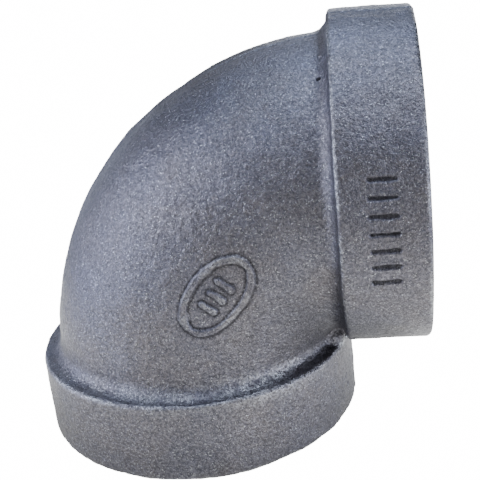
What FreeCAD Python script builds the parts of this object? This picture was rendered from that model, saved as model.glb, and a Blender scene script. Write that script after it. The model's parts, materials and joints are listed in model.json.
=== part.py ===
"""Threaded 90 degree pipe elbow, nominal size 2, class 300 malleable iron pattern.

Frame, in millimetres: the elbow stands on its lower port. The origin is the centre of that port's face,
+Z runs up the lower port's axis, and +X points out of the side port. The casting is symmetric about y = 0,
the parting plane of its mould, apart from its cast marks, which are on the -Y side.

The real fitting is a single casting. It is written as three solids that meet face to face, so that each is a
plain ring or a plain bent tube: lower_port and side_port run from the port's face to the inner end of its
thread, and bend is the cored passage between them.

Each pipe thread is stood in for by a plain bore of its tap drill's size, with the thread's countersink.
"""

import FreeCAD, Part
import math
import os

from FreeCAD import Vector

# The outside of the casting
CENTRE_TO_END = 63.5      # from the crossing of the two port axes to either port's face
BAND_DIAMETER = 86.0
BAND_WIDTH = 21.34
BODY_DIAMETER = 76.0      # the bend between the bands
BEND_RADIUS = 45.0        # of the body's centre line, which turns before it leaves the bands
MOUTH_EDGE_RADIUS = 1.4   # rounds the band beside the port's face
SHOULDER_EDGE_RADIUS = 0.9
SHOULDER_FILLET = 1.2     # between a band's shoulder and the bend

# The way through it
TAP_DRILL_DIAMETER = 56.36   # for a 2 - 11 1/2 taper pipe thread
THREAD_LENGTH = 25.4
COUNTERSINK_DIAMETER = 60.2  # the thread's major diameter at the face
CHAMBER_DIAMETER = 62.0      # as cored, behind the threads

# The cast marks: a raised oval with three bars on the bend, and sunk strokes on the side band
MARK_HEIGHT = 0.6
MARK_LONG_AXIS = 24.0
MARK_SHORT_AXIS = 14.0
MARK_LINE = 1.6
MARK_TILT = 50.0             # of the long axis, from +X towards +Z
MARK_PLACE = (12.3, 48.2)    # x, z of its centre
BAR_LENGTH = 5.0
BAR_SPACING = 3.6
STROKE_DEPTH = 0.5
STROKE_LENGTH = 7.0
STROKE_WIDTH = 1.2
STROKE_SPACING = 4.2
STROKE_COUNT = 7

BAND_RADIUS = BAND_DIAMETER / 2
BODY_RADIUS = BODY_DIAMETER / 2
SHOULDER = CENTRE_TO_END - BAND_WIDTH   # from the crossing of the port axes to a shoulder
DIAGONAL = math.sqrt(0.5)
IN_PLANE = 0.001

UP = Vector(0, 0, 1)
SIDEWAYS = Vector(1, 0, 0)
ALONG_Y = Vector(0, 1, 0)
BEND_CENTRE = Vector(BEND_RADIUS, 0, CENTRE_TO_END - BEND_RADIUS)
LOWER_FACE = Vector(0, 0, 0)


def to_side_port(lower):
    """The same solid at the side port: the lower port's mirror image across the bend."""
    return lower.mirror(Vector(CENTRE_TO_END / 2, 0, CENTRE_TO_END / 2), Vector(1, 0, 1))


def rounded_corner(corner, before, after, radius):
    """The arc that rounds a square corner of a profile, from the side of before to the side of after."""
    start = corner + (before - corner).normalize() * radius
    end = corner + (after - corner).normalize() * radius
    middle = corner + (start + end - corner * 2) * (1 - DIAGONAL)
    return start, middle, end


def band():
    """The plain round band of the lower port, with its two edges rounded."""
    foot = Vector(0, 0, 0)
    mouth = Vector(BAND_RADIUS, 0, 0)
    shoulder = Vector(BAND_RADIUS, 0, BAND_WIDTH)
    top = Vector(0, 0, BAND_WIDTH)
    mouth_arc = rounded_corner(mouth, foot, shoulder, MOUTH_EDGE_RADIUS)
    shoulder_arc = rounded_corner(shoulder, mouth, top, SHOULDER_EDGE_RADIUS)
    edges = [
        Part.LineSegment(foot, mouth_arc[0]),
        Part.Arc(*mouth_arc),
        Part.LineSegment(mouth_arc[2], shoulder_arc[0]),
        Part.Arc(*shoulder_arc),
        Part.LineSegment(shoulder_arc[2], top),
        Part.LineSegment(top, foot),
    ]
    profile = Part.Face(Part.Wire([edge.toShape() for edge in edges]))
    return profile.revolve(foot, UP, 360)


def bend(radius):
    """A quarter turn of round bar, from the lower port's axis to the side port's."""
    disc = Part.Face(Part.Wire(Part.Circle(Vector(0, 0, BEND_CENTRE.z), UP, radius).toShape()))
    return disc.revolve(BEND_CENTRE, ALONG_Y, 90)


def is_shoulder_corner(edge):
    """True where the bend meets a flat shoulder: the one long edge in that plane that isn't a circle."""
    box = edge.BoundBox
    in_lower = max(abs(box.ZMin - BAND_WIDTH), abs(box.ZMax - BAND_WIDTH)) < IN_PLANE
    in_side = max(abs(box.XMin - SHOULDER), abs(box.XMax - SHOULDER)) < IN_PLANE
    return (in_lower or in_side) and edge.Length > BAND_DIAMETER and not isinstance(edge.Curve, Part.Circle)


def outside():
    """The casting's outer form as one solid bar, before it is cored and threaded."""
    bar = bend(BODY_RADIUS).fuse([band(), to_side_port(band())]).removeSplitter()
    return bar.makeFillet(SHOULDER_FILLET, [edge for edge in bar.Edges if is_shoulder_corner(edge)])


def thread_bore():
    """The lower port's tapped length: a plain bore and the countersink at its mouth."""
    drill = Part.makeCylinder(TAP_DRILL_DIAMETER / 2, THREAD_LENGTH, LOWER_FACE, UP)
    depth = (COUNTERSINK_DIAMETER - TAP_DRILL_DIAMETER) / 2
    countersink = Part.makeCone(COUNTERSINK_DIAMETER / 2, TAP_DRILL_DIAMETER / 2, depth, LOWER_FACE, UP)
    return drill.fuse(countersink)


def chamber():
    """The cored passage round the bend, between the inner ends of the two threads."""
    reach = CENTRE_TO_END - THREAD_LENGTH
    block = Part.makeBox(2 * CENTRE_TO_END, BAND_DIAMETER, 2 * CENTRE_TO_END)
    block.translate(Vector(reach - 2 * CENTRE_TO_END, -BAND_RADIUS, THREAD_LENGTH))
    return bend(CHAMBER_DIAMETER / 2).common(block)


def raised_mark():
    """An oval ring with three short bars across it, standing proud of the bend on the -Y side."""
    toward_viewer = Vector(0, -BAND_DIAMETER, 0)

    def oval(long_axis, short_axis):
        ellipse = Part.Ellipse(Vector(0, 0, 0), long_axis / 2, short_axis / 2)
        return Part.Face(Part.Wire(ellipse.toShape()))

    ring = oval(MARK_LONG_AXIS, MARK_SHORT_AXIS)
    ring = ring.cut(oval(MARK_LONG_AXIS - 2 * MARK_LINE, MARK_SHORT_AXIS - 2 * MARK_LINE))
    pieces = [ring]
    for step in (-1, 0, 1):
        corner = Vector(step * BAR_SPACING - MARK_LINE / 2, -BAR_LENGTH / 2, 0)
        pieces.append(Part.makePlane(MARK_LINE, BAR_LENGTH, corner))
    raised = []
    for piece in pieces:
        piece.rotate(Vector(0, 0, 0), UP, MARK_TILT)
        piece.rotate(Vector(0, 0, 0), SIDEWAYS, 90)
        piece.translate(Vector(MARK_PLACE[0], 0, MARK_PLACE[1]))
        raised.append(piece.extrude(toward_viewer).common(bend(BODY_RADIUS + MARK_HEIGHT)))
    return raised


def sunk_strokes():
    """A row of strokes across the side band on its -Y side, each sunk below the band's surface."""
    end = Vector(SHOULDER, 0, CENTRE_TO_END)
    skin = Part.makeCylinder(BAND_RADIUS + STROKE_DEPTH, BAND_WIDTH, end, SIDEWAYS)
    skin = skin.cut(Part.makeCylinder(BAND_RADIUS - STROKE_DEPTH, BAND_WIDTH, end, SIDEWAYS))
    left = SHOULDER + (BAND_WIDTH - STROKE_LENGTH) / 2
    strokes = []
    for step in range(STROKE_COUNT):
        rise = (step - (STROKE_COUNT - 1) / 2) * STROKE_SPACING - STROKE_WIDTH / 2
        corner = Vector(left, -BAND_DIAMETER, CENTRE_TO_END + rise)
        block = Part.makeBox(STROKE_LENGTH, BAND_DIAMETER, STROKE_WIDTH, corner)
        strokes.append(block.common(skin))
    return strokes


def casting():
    """The whole fitting, cored, threaded and marked."""
    whole = outside().fuse(raised_mark())
    return whole.cut([chamber(), thread_bore(), to_side_port(thread_bore())] + sunk_strokes()).removeSplitter()


def below_diagonal():
    """A prism over all of the casting that lies nearer the lower port than the side port."""
    far = 2 * BAND_DIAMETER
    corners = [
        Vector(CENTRE_TO_END + far, -BAND_DIAMETER, -far),
        Vector(CENTRE_TO_END - far, -BAND_DIAMETER, far),
        Vector(CENTRE_TO_END - far, -BAND_DIAMETER, -far),
    ]
    outline = Part.makePolygon(corners + corners[:1])
    return Part.Face(outline).extrude(Vector(0, 2 * BAND_DIAMETER, 0))


def port_slab():
    """The slab of space from the lower port's face to the inner end of its thread."""
    return Part.makeBox(
        2 * BAND_DIAMETER,
        2 * BAND_DIAMETER,
        THREAD_LENGTH,
        Vector(-BAND_DIAMETER, -BAND_DIAMETER, 0),
    )


def one_solid(name, shape):
    """The single solid that a node's shape has to be."""
    if len(shape.Solids) != 1 or not shape.isValid():
        raise SystemExit(f"{name} isn't one valid solid")
    return shape.Solids[0]


whole = casting()
lower_slab = port_slab().common(below_diagonal())
side_slab = to_side_port(lower_slab)
nodes = {
    "lower_port": whole.common(lower_slab),
    "bend": whole.cut([lower_slab, side_slab]),
    "side_port": whole.common(side_slab),
}
os.makedirs("parts", exist_ok=True)
for name, shape in nodes.items():
    solid = one_solid(name, shape)
    solid.exportStep(f"parts/{name}.step")
    box = solid.optimalBoundingBox()
    print(f"{name}: {box.XLength:.1f} x {box.YLength:.1f} x {box.ZLength:.1f} mm, {solid.Volume:.0f} mm3")
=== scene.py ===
"""Looks of a threaded 90 degree pipe elbow, sand cast in black malleable iron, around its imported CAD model.

The casting's skin is one surface, worked out in millimetres from a distance function: a bent pipe, two
plain bands and two small lumps at the crotch, blended by cast fillets. Sand grain, parting ridge, cast marks
and pits are real relief on that surface. It is then faced at both ports and divided where the CAD model is
divided. The tapped threads are their own pieces.
"""

import itertools
import json
import math

import bmesh
import bpy
import numpy as np
from mathutils import Matrix, Vector


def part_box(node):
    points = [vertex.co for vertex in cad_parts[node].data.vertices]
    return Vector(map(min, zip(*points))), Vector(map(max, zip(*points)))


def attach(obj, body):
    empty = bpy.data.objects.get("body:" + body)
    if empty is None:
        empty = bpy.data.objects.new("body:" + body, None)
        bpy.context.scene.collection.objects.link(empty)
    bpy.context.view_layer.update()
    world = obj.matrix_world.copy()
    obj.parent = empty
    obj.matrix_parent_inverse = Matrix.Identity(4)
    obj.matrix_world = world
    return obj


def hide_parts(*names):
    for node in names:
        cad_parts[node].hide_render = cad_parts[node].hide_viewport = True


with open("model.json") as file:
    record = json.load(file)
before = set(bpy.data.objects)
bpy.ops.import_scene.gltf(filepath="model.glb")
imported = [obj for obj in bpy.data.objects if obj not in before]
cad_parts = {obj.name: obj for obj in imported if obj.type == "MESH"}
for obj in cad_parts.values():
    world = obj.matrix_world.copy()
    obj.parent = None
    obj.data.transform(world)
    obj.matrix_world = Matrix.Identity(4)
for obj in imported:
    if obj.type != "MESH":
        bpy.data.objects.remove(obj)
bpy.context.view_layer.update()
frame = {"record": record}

MM = 0.001

# Sizes from the frame, in millimetres
CENTRE_TO_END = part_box("side_port")[1].x / MM     # from the crossing of the port axes to a port's face
BAND_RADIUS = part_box("lower_port")[1].x / MM
BODY_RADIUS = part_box("bend")[1].y / MM
THREAD_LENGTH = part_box("lower_port")[1].z / MM
DRILL_RADIUS = frame["record"]["mounts"][0]["dims"]["r_mm"]
CHAMFER = frame["record"]["mounts"][0]["pos_m"][2] / MM   # the thread's countersink, at 45 degrees

# The casting's own details, in millimetres
BEND_RADIUS = 45.0
BAND_WIDTH = 21.34
CHAMBER_RADIUS = 31.0
STOCK = 0.35              # cast on each port's end and then faced off
MOUTH_ROUND = 1.7         # the band's edges as cast
SHOULDER_ROUND = 1.15
FILLET = 3.9              # between the bands and the bend
CROTCH_FILLET = 2.4       # where the two bands meet
LUMP_PLACE = (38.2, 12.0, 22.9)    # of iron on each side of the crotch, beside the bands' shoulders
LUMP_RADIUS = 3.0
LUMP_FILLET = 1.5
BEND_CENTRE = (BEND_RADIUS, CENTRE_TO_END - BEND_RADIUS)   # x, z

# The thread: 2 - 11 1/2 taper pipe thread
PITCH = 25.4 / 11.5
ROOT_RADIUS = 30.046      # at the port's face
CREST_RADIUS = 28.279
TAPER = 1 / 32
FLAT = 0.09               # of the cut at its crest and root
FLANK = math.tan(math.radians(30))

# The cast marks
MARK_PLACE = (12.3, 48.2)  # x, z
MARK_TILT = math.radians(50)
MARK_AXES = (12.0, 7.0)
MARK_LINE = 1.6
MARK_HEIGHT = 0.6
BAR_LENGTH = 5.0
BAR_SPACING = 3.6
STROKE_LENGTH = 7.0
STROKE_WIDTH = 1.0
STROKE_SPACING = 4.2
STROKE_COUNT = 7
STROKE_DEPTH = 0.5
PITS = [
    # x, y, z, radius, depth
    (39.9, -21.2, 94.8, 0.75, 0.9),
    (41.0, -12.9, 11.1, 0.6, 0.5),
    (41.4, -11.7, 7.9, 0.7, 0.55),
    (40.9, -13.3, 9.4, 0.4, 0.3),
]
PARTING_Y = -1.6
FILLET_HIGHLIGHT_AROUND = 36.0      # degrees round from the front: the middle of the painted highlight on the lower band's fillet

# The relief, in millimetres
WAVES = 0.11              # spread of the casting's slow waves
RIPPLES = 0.045
GRAIN = 0.024
FINE_GRAIN = 0.026
CORED_WAVES = 0.2
CORED_RIPPLES = 0.12
CORED_GRAIN = 0.06
RIDGE_HEIGHT = 0.2        # of the parting ridge
RIDGE_WIDTH = 0.4
MOULD_MISMATCH = 0.07     # step between the halves of the mould
STROKE_LIP = 0.06
EDGE_WEAR_WIDTH = 0.65
CROTCH_SHADE_RADIUS = 6.0       # of the painted shade at the crotch

STEP = 0.55   # of the casting's mesh, in millimetres


# ---- the casting as a distance function ----

def round_union(first, second, radius):
    """Distance to two solids joined by a fillet."""
    inner = np.hypot(np.maximum(radius - first, 0), np.maximum(radius - second, 0))
    return np.maximum(radius, np.minimum(first, second)) - inner


def port_axes(points):
    """For each port, how far each point is in from the port's face and out from its axis."""
    x, y, z = points[..., 0], points[..., 1], points[..., 2]
    return [(z, np.hypot(x, y)), (CENTRE_TO_END - x, np.hypot(y, z - CENTRE_TO_END))]


def band_distance(inward, outward):
    """A band with its mouth's and its shoulder's edges rounded."""
    middle = (BAND_WIDTH - STOCK) / 2
    half = (BAND_WIDTH + STOCK) / 2
    radius = np.where(inward < middle, MOUTH_ROUND, SHOULDER_ROUND)
    beyond = np.abs(inward - middle) - half + radius
    over = outward - BAND_RADIUS + radius
    inside = np.minimum(np.maximum(beyond, over), 0)
    return inside + np.hypot(np.maximum(beyond, 0), np.maximum(over, 0)) - radius


def from_centre_line(points):
    """Distance to the pipe's centre line: up the lower port's axis, round the bend, out along the side's."""
    left = np.minimum(points[..., 0] - BEND_CENTRE[0], 0)
    up = np.maximum(points[..., 2] - BEND_CENTRE[1], 0)
    return np.hypot(np.hypot(left, up) - BEND_RADIUS, points[..., 1])


def from_lump(points):
    """Distance to the middle of the nearer of the two lumps at the crotch."""
    x, y, z = [points[..., axis] for axis in range(3)]
    return np.hypot(np.hypot(x - LUMP_PLACE[0], np.abs(y) - LUMP_PLACE[1]), z - LUMP_PLACE[2])


def outer_distance(points):
    """The casting's outer form."""
    lower, side = [band_distance(*axes) for axes in port_axes(points)]
    bands = round_union(lower, side, CROTCH_FILLET)
    solid = round_union(from_centre_line(points) - BODY_RADIUS, bands, FILLET)
    solid = round_union(solid, from_lump(points) - LUMP_RADIUS, LUMP_FILLET)
    ends = np.maximum(-STOCK - points[..., 2], points[..., 0] - CENTRE_TO_END - STOCK)
    return np.maximum(solid, ends)


def cored_distance(points):
    """The way through it, positive in the metal."""
    return from_centre_line(points) - CHAMBER_RADIUS


def casting_distance(points):
    """The whole casting: its outer form less the way through it."""
    return np.maximum(outer_distance(points), -cored_distance(points))


def slope_of(distance, points, reach=0.04):
    """The gradient of a distance function."""
    columns = [distance(points + step) - distance(points - step) for step in reach * np.eye(3)]
    return np.stack(columns, axis=-1) / (2 * reach)


def settle(points, rounds=4):
    """Moves points near the casting's surface onto it."""
    for _ in range(rounds):
        slope = slope_of(casting_distance, points)
        steepness = np.maximum((slope ** 2).sum(-1), 0.2)
        points = points - (casting_distance(points) / steepness)[:, None] * slope
    return points


def surface_net(distance, low, high, step):
    """The zero surface of a distance function as quads of about the step's size."""
    counts = [int(math.ceil((top - bottom) / step)) + 1 for bottom, top in zip(low, high)]
    xs, ys, zs = [bottom + step * np.arange(count) for bottom, count in zip(low, counts)]
    inside = np.zeros(counts, np.int8)
    for i, x in enumerate(xs):
        slab = np.stack(np.broadcast_arrays(x, ys[:, None], zs[None, :]), axis=-1)
        inside[i] = distance(slab) < 0
    filled = sum(
        inside[a:counts[0] - 1 + a, b:counts[1] - 1 + b, c:counts[2] - 1 + c]
        for a, b, c in itertools.product((0, 1), repeat=3)
    )
    crossed = (filled > 0) & (filled < 8)
    number = np.cumsum(crossed.ravel()).reshape(crossed.shape) - 1
    points = (np.argwhere(crossed) + 0.5) * step + np.array(low)
    quads = []
    for axis in range(3):
        change = np.diff(inside, axis=axis)
        edges = np.argwhere(change)
        first, second = [other for other in range(3) if other != axis]
        ring = []
        for a, b in ((0, 0), (1, 0), (1, 1), (0, 1)):
            cell = edges.copy()
            cell[:, first] -= a
            cell[:, second] -= b
            ring.append(number[tuple(cell.T)])
        quad = np.stack(ring, axis=1)
        backwards = (change[tuple(edges.T)] > 0) != (axis == 1)
        quad[backwards] = quad[backwards, ::-1]
        quads.append(quad)
    return points, np.concatenate(quads)


def relax(points, quads, rounds=3):
    """Evens out the quads without leaving the surface."""
    starts = quads.ravel()
    ends = np.roll(quads, -1, axis=1).ravel()
    share = np.bincount(starts, minlength=len(points))
    for _ in range(rounds):
        mean = [np.bincount(starts, points[ends, axis], len(points)) for axis in range(3)]
        points = settle(np.stack(mean, axis=1) / share[:, None], rounds=1)
    return settle(points)


# ---- relief ----

def smooth_step(value, low, high):
    """0 at low and below, 1 at high and above, with a smooth rise between."""
    part = np.clip((value - low) / (high - low), 0, 1)
    return part * part * (3 - 2 * part)


def noise(points, size, seed):
    """Seeded noise of unit spread, with features about size across."""
    draws = np.random.default_rng(seed)
    lattice = draws.standard_normal((32, 32, 32))
    turn = np.linalg.qr(draws.standard_normal((3, 3)))[0]
    place = points @ turn / size
    low = np.floor(place).astype(int)
    part = place - low
    part = part * part * (3 - 2 * part)
    total = np.zeros(len(points))
    for corner in itertools.product((0, 1), repeat=3):
        weight = np.prod(np.where(corner, part, 1 - part), axis=1)
        total += weight * lattice[tuple((low + corner).T % 32)]
    return 1.6 * total


def from_mark(points):
    """Distance to the nearest line of the raised oval and its three bars, seen along Y."""
    x, z = points[:, 0] - MARK_PLACE[0], points[:, 2] - MARK_PLACE[1]
    along = x * math.cos(MARK_TILT) + z * math.sin(MARK_TILT)
    across = z * math.cos(MARK_TILT) - x * math.sin(MARK_TILT)
    long_axis, short_axis = [axis - MARK_LINE / 2 for axis in MARK_AXES]
    level = np.hypot(along / long_axis, across / short_axis)
    rise = np.hypot(along / long_axis ** 2, across / short_axis ** 2) / np.maximum(level, 0.1)
    nearest = np.abs(level - 1) / np.maximum(rise, 0.02)
    for step in (-1, 0, 1):
        past = np.maximum(np.abs(across) - (BAR_LENGTH - MARK_LINE) / 2, 0)
        nearest = np.minimum(nearest, np.hypot(along - step * BAR_SPACING, past))
    return nearest


def from_stroke(points):
    """Distance to the middle line of the nearest sunk stroke on the side band."""
    middle = CENTRE_TO_END - BAND_WIDTH / 2
    past = np.maximum(np.abs(points[:, 0] - middle) - (STROKE_LENGTH - STROKE_WIDTH) / 2, 0)
    rise = (points[:, 2] - CENTRE_TO_END) / STROKE_SPACING
    last = (STROKE_COUNT - 1) / 2
    nearest = np.clip(np.round(rise), -last, last)
    return np.hypot(past, (rise - nearest) * STROKE_SPACING)


def from_edges(points):
    """Distance to the nearest of the bands' mouth and shoulder edges."""
    found = []
    for inward, outward in port_axes(points):
        for place in (0, BAND_WIDTH):
            found.append(np.hypot(inward - place, outward - BAND_RADIUS))
    return np.min(found, axis=0)


def fillet_highlight(points):
    """How far each point lies in the painted highlight on the fillet above the lower band, from 0 to 1."""
    around = np.degrees(np.arctan2(points[:, 0], -points[:, 1]))
    outward = np.hypot(points[:, 0], points[:, 1])
    corner = np.hypot(points[:, 2] - BAND_WIDTH - 0.4, outward - BODY_RADIUS - 2.6)
    brightest = np.exp(-((around - FILLET_HIGHLIGHT_AROUND) / 14) ** 2)
    wider = 0.38 * np.exp(-((around - 10) / 55) ** 2)
    return np.minimum((wider + brightest) * np.exp(-(corner / 2.8) ** 2), 1)


def parting_line(points):
    """How far each point is from the wandering line where the two halves of the mould met."""
    return points[:, 1] - PARTING_Y - 0.35 * noise(points * (1, 0, 1), 17, 21)


def in_detail(points):
    """True at the points whose relief needs a finer mesh."""
    front = points[:, 1] < 0
    mark = front & (from_mark(points) < 1.6)
    stroke = front & (from_stroke(points) < 1.3)
    pit = np.zeros(len(points), bool)
    for *place, radius, _ in PITS:
        pit |= np.linalg.norm(points - place, axis=1) < 3 * radius
    return mark | stroke | pit


def in_trim(points):
    """True along the parting ridge and the bands' edges."""
    outside = np.abs(outer_distance(points)) < 0.1
    ridge = np.abs(points[:, 1] - PARTING_Y) < 1.6
    return outside & (ridge | (from_edges(points) < 1.3))


def relief(points, normals):
    """How far the real surface stands above the ideal one, with its wear and a painted highlight, and its
    dirt and painted shade, each from 0 to 1.
    """
    cored = np.abs(cored_distance(points)) < np.abs(outer_distance(points))
    faces_front = normals[:, 1] < -0.3

    height = WAVES * noise(points, 15, 1) + RIPPLES * noise(points, 5.5, 2)
    grain = GRAIN * noise(points, 1.9, 3) + FINE_GRAIN * noise(points, 1.0, 4)
    height_cored = CORED_WAVES * noise(points, 11, 5)
    height_cored = height_cored + CORED_RIPPLES * noise(points, 4, 6)
    height_cored = height_cored + CORED_GRAIN * noise(points, 1.5, 7)

    off_line = parting_line(points)
    beside = np.abs(normals[:, 1]) < 0.4
    strength = 0.65 + 0.35 * noise(points, 9, 8)
    ridge = RIDGE_HEIGHT * np.clip(strength, 0.1, 1.2) * np.exp(-(off_line / RIDGE_WIDTH) ** 2)
    mismatch = MOULD_MISMATCH * np.tanh(off_line / 0.3) * np.exp(-np.abs(off_line) / 5)
    ground = beside * np.exp(-(points[:, 1] / 3.2) ** 2)
    height += grain * (1 - 0.55 * ground) + beside * (ridge + mismatch)

    wobble = 0.12 * noise(points, 2.2, 9)
    mark = from_mark(points) + wobble
    raised = faces_front * (1 - smooth_step(mark, MARK_LINE / 2 - 0.25, MARK_LINE / 2 + 0.4))
    height += MARK_HEIGHT * raised

    stroke = from_stroke(points) + 0.7 * wobble
    on_band = faces_front & (points[:, 0] > CENTRE_TO_END - BAND_WIDTH)
    sunk = on_band * (1 - smooth_step(stroke, STROKE_WIDTH / 2 - 0.35, STROKE_WIDTH / 2 + 0.25))
    lip = on_band * np.exp(-((stroke - STROKE_WIDTH / 2 - 0.45) / 0.25) ** 2)
    height += STROKE_LIP * lip - STROKE_DEPTH * sunk

    hollow = np.zeros(len(points))
    for *place, radius, depth in PITS:
        away = np.linalg.norm(points - place, axis=1) * (1 + 0.15 * noise(points, 0.8, 10))
        dent = 1 - smooth_step(away, 0.35 * radius, 1.15 * radius)
        height -= depth * dent
        hollow = np.maximum(hollow, dent)

    edge = from_edges(points)
    wear_and_highlight = np.exp(-(edge / EDGE_WEAR_WIDTH) ** 2) * np.clip(0.75 + 0.5 * noise(points, 4.5, 11), 0, 1)
    wear_and_highlight = np.maximum(wear_and_highlight, 0.45 * np.exp(-(off_line / 0.35) ** 2) * beside * np.clip(strength, 0, 1))
    wear_and_highlight = np.maximum(wear_and_highlight, 0.3 * raised * np.clip(0.5 + 0.5 * noise(points, 3, 12), 0, 1))
    # Painted highlight: a bright patch on the lower band's fillet, carried with the wear.
    wear_and_highlight = np.maximum(wear_and_highlight, fillet_highlight(points) * np.clip(0.85 + 0.4 * noise(points, 2, 13), 0, 1))
    # Darker along the foot of the mark's lines.
    foot = faces_front * np.exp(-((mark - MARK_LINE / 2 - 0.5) / 0.32) ** 2)
    # Painted shade: darker round the crotch between the bands, carried with the dirt.
    crotch_shade = np.exp(-(from_lump(points) / CROTCH_SHADE_RADIUS) ** 2)
    dirt_and_shade = np.max([hollow, 0.8 * sunk, 0.8 * foot, 0.5 * crotch_shade], axis=0)

    depth_in = np.min([inward for inward, _ in port_axes(points)], axis=0)
    height_cored = height_cored * smooth_step(depth_in, THREAD_LENGTH, THREAD_LENGTH + 5)
    height = np.where(depth_in < -STOCK / 2, np.maximum(height, -STOCK / 2), height)
    height = np.where(cored, height_cored, height)
    return height, np.where(cored, 0, wear_and_highlight), np.where(cored, 0.35, dirt_and_shade)


# ---- meshes ----

def mesh_from(name, points, faces):
    mesh = bpy.data.meshes.new(name)
    mesh.from_pydata(points.tolist(), [], faces.tolist())
    return mesh


def values_of(owner, name, width=1, kind=np.float32):
    """One value, or one row of values, for each member of a mesh collection."""
    flat = np.zeros(width * len(owner), kind)
    owner.foreach_get(name, flat)
    return flat.reshape(-1, width) if width > 1 else flat


def coordinates(mesh):
    return values_of(mesh.vertices, "co", 3).astype(float)


def refine(mesh, chosen):
    """Halves the edges that lie where chosen is true, and settles the new points on the surface."""
    picked = chosen(coordinates(mesh))
    work = bmesh.new()
    work.from_mesh(mesh)
    edges = [e for e in work.edges if picked[e.verts[0].index] and picked[e.verts[1].index]]
    bmesh.ops.subdivide_edges(work, edges=edges, cuts=1, use_grid_fill=True)
    work.to_mesh(mesh)
    work.free()
    mesh.vertices.foreach_set("co", settle(coordinates(mesh)).astype(np.float32).ravel())


def store(mesh, name, kind, values):
    """Keeps a value or a vector for each of the mesh's points."""
    key = "vector" if kind == "FLOAT_VECTOR" else "value"
    mesh.attributes.new(name, kind, "POINT").data.foreach_set(key, values.astype(np.float32).ravel())


def whole_casting():
    """The casting with its relief, in millimetres, still with the stock on its ports' ends."""
    low = (-BAND_RADIUS - 2, -BAND_RADIUS - 2, -STOCK - 2)
    high = (CENTRE_TO_END + STOCK + 2, BAND_RADIUS + 2, CENTRE_TO_END + BAND_RADIUS + 2)
    points, quads = surface_net(casting_distance, low, high, STEP)
    mesh = mesh_from("casting", relax(settle(points), quads), quads)
    refine(mesh, in_trim)
    refine(mesh, in_detail)
    refine(mesh, in_detail)
    points = coordinates(mesh)
    normals = slope_of(casting_distance, points)
    normals /= np.linalg.norm(normals, axis=1)[:, None]
    height, wear_and_highlight, dirt_and_shade = relief(points, normals)
    mesh.vertices.foreach_set("co", (points + height[:, None] * normals).astype(np.float32).ravel())
    mesh.update()
    store(mesh, "skin_normal", "FLOAT_VECTOR", values_of(mesh.vertex_normals, "vector", 3))
    # The stored wear holds a painted highlight too, and the stored dirt holds painted shade.
    store(mesh, "wear_and_highlight", "FLOAT", wear_and_highlight)
    store(mesh, "dirt_and_shade", "FLOAT", dirt_and_shade)
    return mesh


def cut(work, place, normal, material):
    """Cuts away what lies on the normal's side of a plane, and closes the cut."""
    parts = work.verts[:] + work.edges[:] + work.faces[:]
    made = bmesh.ops.bisect_plane(work, geom=parts, plane_co=place, plane_no=normal, clear_outer=True)
    rim = [e for e in made["geom_cut"] if isinstance(e, bmesh.types.BMEdge) and len(e.link_faces) == 1]
    filled = bmesh.ops.triangle_fill(work, edges=rim, use_beauty=True, normal=normal)
    flat = work.faces.layers.int["flat"]
    for face in filled["geom"]:
        if isinstance(face, bmesh.types.BMFace):
            face.material_index = material
            face[flat] = 1
            if face.normal.dot(Vector(normal)) < 0:
                face.normal_flip()


def corner_normals(piece):
    """The whole casting's normal at each corner, apart from the flat cuts, which have their own."""
    flat = values_of(piece.attributes["flat"].data, "value", kind=np.int32)
    skin = values_of(piece.attributes["skin_normal"].data, "vector", 3)
    corners = values_of(piece.loops, "vertex_index", kind=np.int32)
    sizes = values_of(piece.polygons, "loop_total", kind=np.int32)
    own = values_of(piece.polygons, "normal", 3)
    on_cut = np.repeat(flat, sizes)[:, None] > 0
    return np.where(on_cut, np.repeat(own, sizes, axis=0), skin[corners])


def divided(mesh, name, cuts):
    """A closed piece of the casting, in metres: what its cuts leave, with the whole casting's normals."""
    work = bmesh.new()
    work.from_mesh(mesh)
    work.faces.layers.int.new("flat")
    for place, normal, material in cuts:
        cut(work, place, normal, material)
    piece = bpy.data.meshes.new(name)
    work.to_mesh(piece)
    work.free()
    piece.transform(Matrix.Scale(MM, 4))
    piece.shade_smooth()
    piece.normals_split_custom_set(corner_normals(piece))
    for spare in ("skin_normal", "flat"):
        piece.attributes.remove(piece.attributes[spare])
    return bpy.data.objects.new(name, piece)


def thread_radius(inward, turns):
    """The tapped wall's radius, at a depth from the face and a place along the thread in turns."""
    phase = np.abs((inward / PITCH - turns + 0.5) % 1 - 0.5) * PITCH
    groove = ROOT_RADIUS - inward * TAPER - np.maximum(phase - FLAT / 2, 0) / FLANK
    tapped = np.maximum(groove, CREST_RADIUS - inward * TAPER)
    mouth = DRILL_RADIUS + CHAMFER - inward
    return np.maximum(np.maximum(tapped, DRILL_RADIUS), mouth)


def round_axis(radius, turns, inward):
    """Points at a radius from Z, at a place round it in turns, at a depth along it."""
    angle = 2 * math.pi * turns + 0 * inward
    return np.stack([radius * np.cos(angle), radius * np.sin(angle), inward], axis=-1)


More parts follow.
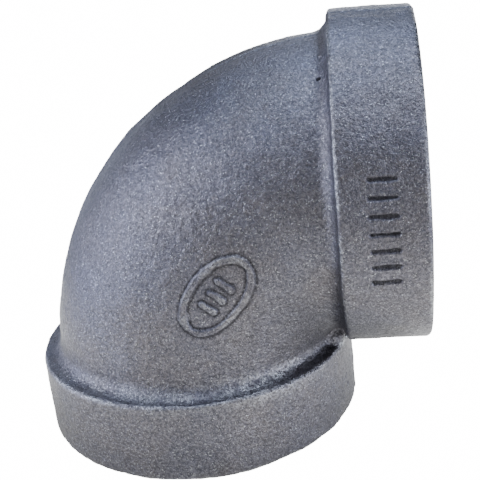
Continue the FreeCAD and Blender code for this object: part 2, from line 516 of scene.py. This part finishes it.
def thread_sleeve(name, place):
    """The tapped wall of a port as a closed sleeve. Its rows of points follow the thread's helix."""
    around = 240
    rows_per_turn = 12
    turns = np.arange(around + 1)[None, :] / around
    row_count = int(math.ceil((THREAD_LENGTH / PITCH + 1) * rows_per_turn)) + 1
    starts = np.arange(row_count) / rows_per_turn - 1
    inward = np.clip((starts[:, None] + turns) * PITCH, 0, THREAD_LENGTH)
    radius = thread_radius(inward, turns)
    ideal = round_axis(radius, turns, inward).reshape(-1, 3)
    grime = smooth_step(radius - DRILL_RADIUS, 0.3, 1.7) * (inward > 1.0)
    tear = 0.012 * noise(ideal, 0.9, 31) + 0.014 * noise(ideal, 3.1, 32)
    ends = (inward > 0) & (inward < THREAD_LENGTH)
    radius = radius + tear.reshape(radius.shape) * ends
    wall = [(THREAD_LENGTH, CHAMBER_RADIUS), (0, CHAMBER_RADIUS), (0, thread_radius(0, 0))]
    for depth, out in wall:
        inward = np.vstack([inward, np.full(around + 1, depth)])
        radius = np.vstack([radius, np.full(around + 1, out)])
        grime = np.vstack([grime, np.zeros(around + 1)])
    points = round_axis(radius, turns, inward)
    index = np.arange(inward.size).reshape(inward.shape)
    quads = np.stack([index[:-1, :-1], index[:-1, 1:], index[1:, 1:], index[1:, :-1]], axis=-1)
    mesh = mesh_from(name, points.reshape(-1, 3), quads.reshape(-1, 4))
    store(mesh, "dirt_and_shade", "FLOAT", grime)
    work = bmesh.new()
    work.from_mesh(mesh)
    bmesh.ops.remove_doubles(work, verts=work.verts, dist=0.004)
    bmesh.ops.recalc_face_normals(work, faces=work.faces)
    work.to_mesh(mesh)
    work.free()
    mesh.transform(place @ Matrix.Scale(MM, 4))
    mesh.shade_smooth()
    mesh.set_sharp_from_angle(angle=math.radians(24))
    return bpy.data.objects.new(name, mesh)


# ---- materials ----

SKIN_WARM = (0.154, 0.140, 0.150, 1)
SKIN_COOL = (0.138, 0.136, 0.172, 1)
SKIN_DULL = (0.112, 0.109, 0.127, 1)
SKIN_RUST = (0.150, 0.115, 0.092, 1)
# Bright bare iron: the rubbed edges' colour, and the colour of the painted glints and of the painted
# highlight on the lower fillet.
RUBBED_IRON_AND_HIGHLIGHT = (0.50, 0.51, 0.54, 1)
# Near black: the dirt's colour, and the colour of the painted shade at the crotch.
GRIME_AND_SHADE = (0.022, 0.021, 0.022, 1)
MACHINED_DULL = (0.235, 0.23, 0.235, 1)
MACHINED_BRIGHT = (0.30, 0.295, 0.30, 1)
MACHINED_STAIN = (0.17, 0.14, 0.115, 1)
SKIN_METALLIC = 1.0
SKIN_ROUGHNESS = 0.34


class Nodes:
    """A short way to build a node tree."""

    def __init__(self, name):
        self.material = bpy.data.materials.new(name)
        self.material.use_nodes = True
        self.tree = self.material.node_tree
        self.shader = self.tree.nodes["Principled BSDF"]

    def add(self, kind, inputs=(), **settings):
        node = self.tree.nodes.new(kind)
        for key, value in settings.items():
            setattr(node, key, value)
        for key, value in dict(inputs).items():
            self.put(node.inputs[key], value)
        return node

    def put(self, socket, value):
        if isinstance(value, bpy.types.NodeSocket):
            self.tree.links.new(value, socket)
        else:
            socket.default_value = value

    def noise(self, size, detail=2.0, roughness=0.5):
        """Noise with features about size millimetres across, as its factor."""
        place = self.place()
        inputs = {"Vector": place, "Scale": 1 / (size * MM), "Detail": detail, "Roughness": roughness}
        return self.add("ShaderNodeTexNoise", inputs).outputs["Fac"]

    def place(self):
        return self.add("ShaderNodeTexCoord").outputs["Object"]

    def spread(self, value, low, high, to_low=0.0, to_high=1.0):
        """Maps low to high onto to_low to to_high, and holds the ends."""
        inputs = {"Value": value, "From Min": low, "From Max": high, "To Min": to_low, "To Max": to_high}
        return self.add("ShaderNodeMapRange", inputs).outputs["Result"]

    def math(self, operation, first, second=0.0):
        node = self.add("ShaderNodeMath", operation=operation)
        self.put(node.inputs[0], first)
        self.put(node.inputs[1], second)
        return node.outputs["Value"]

    def mix(self, factor, first, second, blend="MIX"):
        node = self.add("ShaderNodeMix", data_type="RGBA", blend_type=blend)
        self.put(node.inputs["Factor"], factor)
        colours = [s for s in node.inputs if s.type == "RGBA"]
        self.put(colours[0], first)
        self.put(colours[1], second)
        return [s for s in node.outputs if s.type == "RGBA"][0]

    def grey(self, value):
        return self.add("ShaderNodeCombineColor", {0: value, 1: value, 2: value}).outputs["Color"]

    def attribute(self, name):
        return self.add("ShaderNodeAttribute", attribute_name=name).outputs["Fac"]

    def bump(self, height, distance, normal=None):
        """The normal over a bumped surface, with the bumps' distance in millimetres."""
        inputs = {"Height": height, "Distance": distance * MM, "Strength": 1.0}
        if normal is not None:
            inputs["Normal"] = normal
        return self.add("ShaderNodeBump", inputs).outputs["Normal"]


def cast_skin():
    """Black malleable iron as it leaves the sand: fine grain, oiled blue-grey, bright where it has rubbed,
    with painted glints, a painted highlight on the lower fillet and painted shade at the crotch.
    """
    nodes = Nodes("cast_iron_skin")
    speckle = nodes.spread(nodes.noise(1.1, 2), 0.3, 0.7)
    mottle = nodes.mix(0.4, nodes.grey(nodes.spread(nodes.noise(13, 3), 0.35, 0.65)), nodes.grey(speckle))
    blotch = nodes.spread(nodes.noise(4.5, 4, 0.6), 0.3, 0.7)
    grain = nodes.noise(0.7, 3, 0.6)
    fine = nodes.noise(0.34, 2, 0.6)
    wear_and_highlight = nodes.attribute("wear_and_highlight")
    dirt_and_shade = nodes.attribute("dirt_and_shade")

    colour = nodes.mix(mottle, SKIN_WARM, SKIN_COOL)
    colour = nodes.mix(nodes.spread(blotch, 0.0, 1.0, 0.0, 0.5), colour, SKIN_DULL)
    rust = nodes.spread(nodes.noise(2.6, 6, 0.7), 0.60, 0.74, 0.0, 0.3)
    colour = nodes.mix(rust, colour, SKIN_RUST)
    # Grain tone: brighter on the grain's peaks as painted glints, darker between them.
    coarse_grain_and_glint = nodes.spread(grain, 0.42, 0.70, 0.78, 1.5)
    grain_and_glint_tone = nodes.math("ADD", coarse_grain_and_glint, nodes.spread(fine, 0.3, 0.7, -0.22, 0.22))
    colour = nodes.mix(1.0, colour, nodes.grey(grain_and_glint_tone), "MULTIPLY")
    # Painted glints: bright specks of bare iron.
    glints = nodes.spread(nodes.noise(0.42, 2, 0.55), 0.60, 0.72, 0.0, 0.75)
    colour = nodes.mix(glints, colour, RUBBED_IRON_AND_HIGHLIGHT)
    # Rubbed edges, and the painted highlight on the lower fillet.
    rubbed_and_highlight = nodes.math("MULTIPLY", wear_and_highlight, nodes.spread(grain, 0.36, 0.58))
    colour = nodes.mix(rubbed_and_highlight, colour, RUBBED_IRON_AND_HIGHLIGHT)
    # Dirt, and the painted shade at the crotch.
    colour = nodes.mix(nodes.math("MULTIPLY", dirt_and_shade, 0.85), colour, GRIME_AND_SHADE)
    nodes.put(nodes.shader.inputs["Base Color"], colour)

    rough = nodes.spread(grain, 0.3, 0.7, SKIN_ROUGHNESS + 0.1, SKIN_ROUGHNESS - 0.1)
    rough = nodes.math("SUBTRACT", rough, nodes.math("MULTIPLY", glints, 0.15))
    rough = nodes.math("ADD", rough, nodes.spread(blotch, 0, 1, -0.03, 0.04))
    rough = nodes.math("SUBTRACT", rough, nodes.math("MULTIPLY", rubbed_and_highlight, 0.08))
    rough = nodes.math("ADD", rough, nodes.math("MULTIPLY", dirt_and_shade, 0.3))
    nodes.put(nodes.shader.inputs["Roughness"], rough)
    nodes.shader.inputs["Metallic"].default_value = SKIN_METALLIC

    coarse = nodes.bump(grain, 0.26)
    nodes.put(nodes.shader.inputs["Normal"], nodes.bump(fine, 0.17, normal=coarse))
    return nodes.material


def machined_iron(name, turn, shift):
    """Turned and tapped iron: tool marks in rings round the port's axis, with grime in the thread's roots.

    turn and shift bring the port's axis to Z with its face at 0.
    """
    nodes = Nodes(name)
    inputs = {"Vector": nodes.place(), "Rotation": turn, "Location": shift}
    local = nodes.add("ShaderNodeMapping", inputs).outputs["Vector"]
    split = nodes.add("ShaderNodeSeparateXYZ", {"Vector": local}).outputs
    flat = nodes.add("ShaderNodeCombineXYZ", {"X": split["X"], "Y": split["Y"]}).outputs["Vector"]
    radius = nodes.add("ShaderNodeVectorMath", {0: flat}, operation="LENGTH").outputs["Value"]
    drift = nodes.math("MULTIPLY", nodes.noise(9, 2), 0.0012)
    rings = nodes.add("ShaderNodeCombineXYZ", {"X": nodes.math("ADD", radius, drift), "Y": split["Z"]})
    inputs = {"Vector": rings.outputs["Vector"], "Scale": 1 / (0.22 * MM), "Detail": 3.0, "Roughness": 0.65}
    marks = nodes.add("ShaderNodeTexNoise", inputs, noise_dimensions="2D").outputs["Fac"]
    blotch = nodes.noise(5, 6, 0.7)
    speck = nodes.noise(0.6, 4, 0.6)
    dirt_and_shade = nodes.attribute("dirt_and_shade")

    colour = nodes.mix(nodes.spread(blotch, 0.35, 0.65), MACHINED_DULL, MACHINED_BRIGHT)
    colour = nodes.mix(nodes.spread(nodes.noise(3, 5, 0.65), 0.56, 0.72, 0, 0.45), colour, MACHINED_STAIN)
    colour = nodes.mix(1.0, colour, nodes.grey(nodes.spread(marks, 0.3, 0.7, 0.6, 1.3)), "MULTIPLY")
    colour = nodes.mix(nodes.math("MULTIPLY", dirt_and_shade, 0.8), colour, GRIME_AND_SHADE)
    nodes.put(nodes.shader.inputs["Base Color"], colour)
    nodes.shader.inputs["Metallic"].default_value = 0.9
    marked = nodes.spread(marks, 0.3, 0.7, 0.42, 0.26)
    rough = nodes.math("ADD", marked, nodes.spread(speck, 0.3, 0.7, 0.0, 0.12))
    nodes.put(nodes.shader.inputs["Roughness"], nodes.math("ADD", rough, nodes.math("MULTIPLY", dirt_and_shade, 0.2)))
    turned = nodes.bump(marks, 0.05)
    nodes.put(nodes.shader.inputs["Normal"], nodes.bump(speck, 0.03, normal=turned))
    return nodes.material


def glowing_card(name, colour, glow):
    """Card that only glows, so that no lamp lights it as well."""
    nodes = Nodes(name)
    nodes.shader.inputs["Base Color"].default_value = (0, 0, 0, 1)
    nodes.shader.inputs["Roughness"].default_value = 1.0
    nodes.shader.inputs["Specular IOR Level"].default_value = 0.0
    nodes.shader.inputs["Emission Color"].default_value = colour
    nodes.shader.inputs["Emission Strength"].default_value = glow
    return nodes


def one_sided(nodes):
    """The same card, clear from behind."""
    behind = nodes.add("ShaderNodeNewGeometry").outputs["Backfacing"]
    clear = nodes.add("ShaderNodeBsdfTransparent").outputs["BSDF"]
    mix = nodes.add("ShaderNodeMixShader", {0: behind, 1: nodes.shader.outputs["BSDF"], 2: clear})
    nodes.put(nodes.tree.nodes["Material Output"].inputs["Surface"], mix.outputs["Shader"])
    return nodes.material


# ---- the stage ----

STAGE_RADIUS = 4.0
CARD_GLOW = 16.0           # renders as near white
WORLD_GLOW = 0.02
WHITE = (1, 1, 1, 1)
CAMERA_AZIMUTH = math.radians(7.0)
CAMERA_ELEVATION = math.radians(21.94)
CAMERA_ROLL = math.radians(-6.21)
CAMERA_DISTANCE = 0.28867
CAMERA_LENS = 79.78
LOOK_AT = Vector((0.01475, 0, 0.04707))
LIGHTS = [
    # name, azimuth and elevation in degrees, power in watts, colour; the same softbox each time
    ("top", 0, 88, 3.1, (0.71, 0.83, 1.0)),
    ("key_left", 277, 26, 4.5, (0.76, 0.83, 1.0)),
    ("left_upper", 303, 30, 1.3, (0.87, 0.92, 1.0)),
    ("left_low", 288, 0, 2.45, (0.71, 0.80, 1.0)),
    ("front_left", 324, 0, 0.75, (1.0, 1.0, 0.96)),
    ("front_right", 36, 0, 2.1, (0.97, 1.0, 0.98)),
    ("right", 72, 0, 3.7, (0.76, 0.82, 1.0)),
    ("right_upper", 60, 60, 3.0, (0.77, 0.84, 1.0)),
    ("left_behind", 252, 0, 1.3, (0.64, 0.71, 1.0)),
    ("back_left", 216, 0, 0.6, (0.75, 0.82, 1.0)),
    ("back_upper", 180, 60, 2.6, (0.60, 0.74, 1.0)),
    ("back", 198, 30, 0.3, (0.92, 0.93, 1.0)),
    ("back_low", 170, 0, 1.6, (0.85, 0.90, 1.0)),
    ("rim_right", 135, -8, 4.7, (0.85, 0.92, 1.0)),
]
SOFTBOX_DISTANCE = 0.8
SOFTBOX_SIZE = 0.45
LIT_FLOOR = [
    # name, inner and outer radius, glow: the floor round the elbow is in the light, under it in the shade
    ("floor_shaded", 0.0, 0.06, 0.86),
    ("floor_lit", 0.06, 0.16, 1.98),
]
LIT_FLOOR_COLOUR = (0.97, 0.99, 0.96, 1)
LIT_FLOOR_Z = -0.0005      # clear of the elbow's lower face


def toward(azimuth, elevation):
    """The direction that azimuth and elevation name; azimuth 0 looks along +Y."""
    flat = math.cos(elevation)
    return Vector((math.sin(azimuth) * flat, -math.cos(azimuth) * flat, math.sin(elevation)))


def link(thing):
    """Puts an object in the scene, and returns it."""
    bpy.context.scene.collection.objects.link(thing)
    return thing


def make_camera():
    camera = link(bpy.data.objects.new("camera", bpy.data.cameras.new("camera")))
    camera.data.lens = CAMERA_LENS
    camera.data.clip_start = 0.01
    back = toward(CAMERA_AZIMUTH, CAMERA_ELEVATION)
    level = back.to_track_quat("Z", "Y").to_matrix()
    camera.matrix_world = (
        Matrix.Translation(LOOK_AT + back * CAMERA_DISTANCE)
        @ (level @ Matrix.Rotation(CAMERA_ROLL, 3, "Z")).to_4x4()
    )
    bpy.context.scene.camera = camera


def make_light(name, azimuth, elevation, power, colour):
    """A square softbox that faces the elbow."""
    lamp = bpy.data.lights.new(name, "AREA")
    lamp.shape = "SQUARE"
    lamp.size = SOFTBOX_SIZE
    lamp.energy = power
    lamp.color = colour
    back = toward(math.radians(azimuth), math.radians(elevation))
    light = link(bpy.data.objects.new(name, lamp))
    light.location = LOOK_AT + back * SOFTBOX_DISTANCE
    light.rotation_euler = back.to_track_quat("Z", "Y").to_euler()


def make_card(name, work, material):
    """A part of the stage that the camera sees and that neither lights the elbow nor shades it."""
    mesh = bpy.data.meshes.new(name)
    work.to_mesh(mesh)
    work.free()
    mesh.materials.append(material)
    card = link(bpy.data.objects.new(name, mesh))
    card.visible_diffuse = False
    card.visible_glossy = False
    card.visible_shadow = False


def make_lit_floor(name, inner, outer, glow):
    """A ring of the floor as the elbow sees it: it lights the elbow from below, out of the camera's sight."""
    angles = [math.radians(angle) for angle in range(0, 360, 5)]
    rim = [(radius * math.sin(a), radius * math.cos(a), 0) for radius in (inner, outer) for a in angles]
    count = len(angles)
    quads = [(i, (i + 1) % count, (i + 1) % count + count, i + count) for i in range(count)]
    mesh = bpy.data.meshes.new(name)
    mesh.from_pydata(rim, [], quads)
    mesh.materials.append(glowing_card(name, LIT_FLOOR_COLOUR, glow).material)
    ring = link(bpy.data.objects.new(name, mesh))
    ring.location.z = LIT_FLOOR_Z
    ring.visible_camera = False
    ring.visible_shadow = False


def make_stage():
    floor = bmesh.new()
    bmesh.ops.create_circle(floor, cap_ends=True, radius=STAGE_RADIUS, segments=96)
    make_card("floor", floor, one_sided(glowing_card("white_floor", WHITE, CARD_GLOW)))
    backdrop = bmesh.new()
    bmesh.ops.create_uvsphere(backdrop, u_segments=96, v_segments=48, radius=STAGE_RADIUS)
    bmesh.ops.reverse_faces(backdrop, faces=backdrop.faces)
    make_card("backdrop", backdrop, one_sided(glowing_card("white_backdrop", WHITE, CARD_GLOW)))
    for ring in LIT_FLOOR:
        make_lit_floor(*ring)
    world = bpy.data.worlds.new("studio")
    world.use_nodes = True
    background = world.node_tree.nodes["Background"]
    background.inputs["Color"].default_value = WHITE
    background.inputs["Strength"].default_value = WORLD_GLOW
    bpy.context.scene.world = world


# ---- the elbow ----

UP = (0, 0, 1)
DOWN = (0, 0, -1)
OUT = (1, 0, 0)
BACK = (-1, 0, 0)
SKIN, MACHINED = 0, 1
LOWER_FACE = (0, 0, 0)
SIDE_FACE = (CENTRE_TO_END, 0, CENTRE_TO_END)
LOWER_DIVIDE = (0, 0, THREAD_LENGTH)
SIDE_DIVIDE = (CENTRE_TO_END - THREAD_LENGTH, 0, 0)
DIAGONAL_POINT = (CENTRE_TO_END, 0, 0)


def make_elbow():
    skin = cast_skin()
    lower_iron = machined_iron("machined_lower", (0, 0, 0), (0, 0, 0))
    side_shift = (-CENTRE_TO_END * MM, 0, CENTRE_TO_END * MM)
    side_iron = machined_iron("machined_side", (0, math.pi / 2, 0), side_shift)
    casting = whole_casting()
    lower_cuts = [(LOWER_FACE, DOWN, MACHINED), (LOWER_DIVIDE, UP, SKIN), (DIAGONAL_POINT, (1, 0, 1), SKIN)]
    side_cuts = [(SIDE_FACE, OUT, MACHINED), (SIDE_DIVIDE, BACK, SKIN), (DIAGONAL_POINT, (-1, 0, -1), SKIN)]
    bend_cuts = [(LOWER_DIVIDE, DOWN, SKIN), (SIDE_DIVIDE, OUT, SKIN)]
    side_place = Matrix((
        (0, 0, -1, CENTRE_TO_END * MM),
        (0, 1, 0, 0),
        (1, 0, 0, CENTRE_TO_END * MM),
        (0, 0, 0, 1),
    ))
    pieces = [
        (divided(casting, "lower_port_casting", lower_cuts), "lower_port", "cast_skin"),
        (divided(casting, "bend_casting", bend_cuts), "bend", "cast_skin"),
        (divided(casting, "side_port_casting", side_cuts), "side_port", "cast_skin"),
        (thread_sleeve("lower_port_thread", Matrix.Identity(4)), "lower_port", "machined_iron"),
        (thread_sleeve("side_port_thread", side_place), "side_port", "machined_iron"),
    ]
    for piece, node, finish in pieces:
        link(piece)
        if finish == "cast_skin":
            piece.data.materials.append(skin)
        piece.data.materials.append(side_iron if node == "side_port" else lower_iron)
        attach(piece, "root")
        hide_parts(node)


make_stage()
make_camera()
for light in LIGHTS:
    make_light(*light)
make_elbow()
